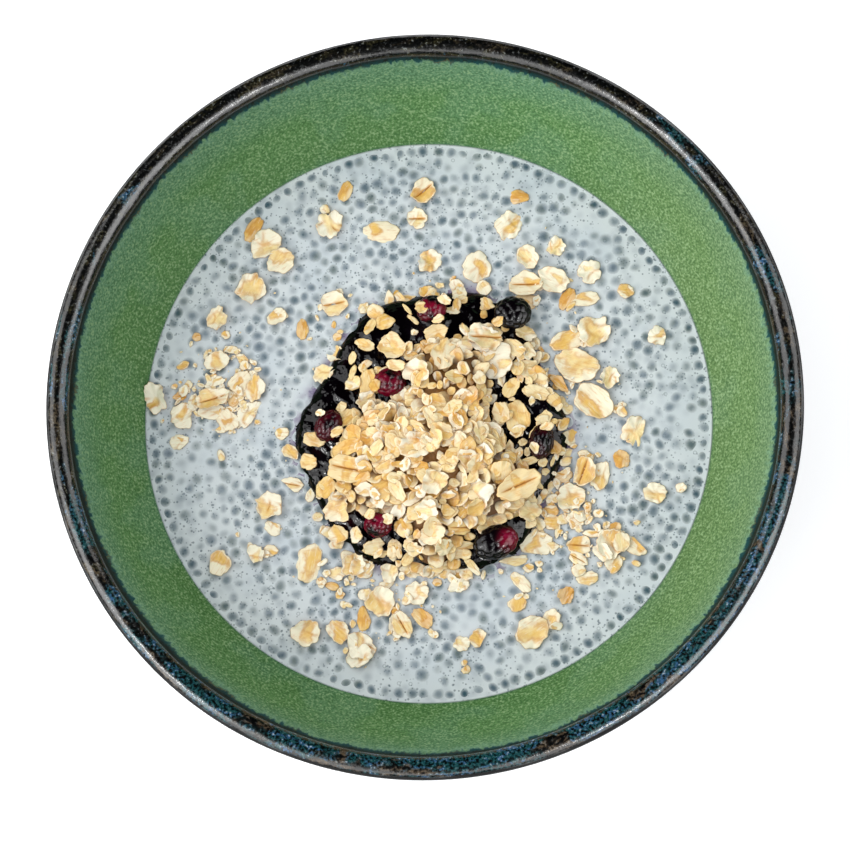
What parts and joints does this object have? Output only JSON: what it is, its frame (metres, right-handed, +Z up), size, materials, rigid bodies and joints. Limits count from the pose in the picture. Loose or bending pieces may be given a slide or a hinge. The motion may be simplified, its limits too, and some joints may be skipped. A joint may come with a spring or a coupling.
{
  "type": "chia pudding",
  "caption": "Bowl of chia seed pudding in glazed stoneware, topped with a pool of dark berry compote and a heap of rolled oats.",
  "frame": {"origin": "centre of the bowl's foot ring, in the plane that it rests on", "axes": "+Z up through the middle of the bowl, +Y to the far side of the bowl as the picture looks down on it, +X to its right"},
  "size_m": [0.17, 0.17, 0.064],
  "materials": {
    "glaze": "satin green glaze with a near-black glossy lip and outside",
    "chia_milk": "moist set milk with soaked seeds",
    "compote": "glossy syrup",
    "berries": "glossy cooked fruit",
    "rolled_oats": "dry and matt"
  },
  "bodies": {
    "root": {"bowl": "glaze", "pudding": "chia_milk", "compote": "compote", "berry_far_right": "berries", "berry_far_middle": "berries", "berry_inner": "berries", "berry_left": "berries", "berry_near_right": "berries", "berry_near_left": "berries", "berry_right": "berries", "oat_heap": "rolled_oats"}
  },
  "joints": []
}
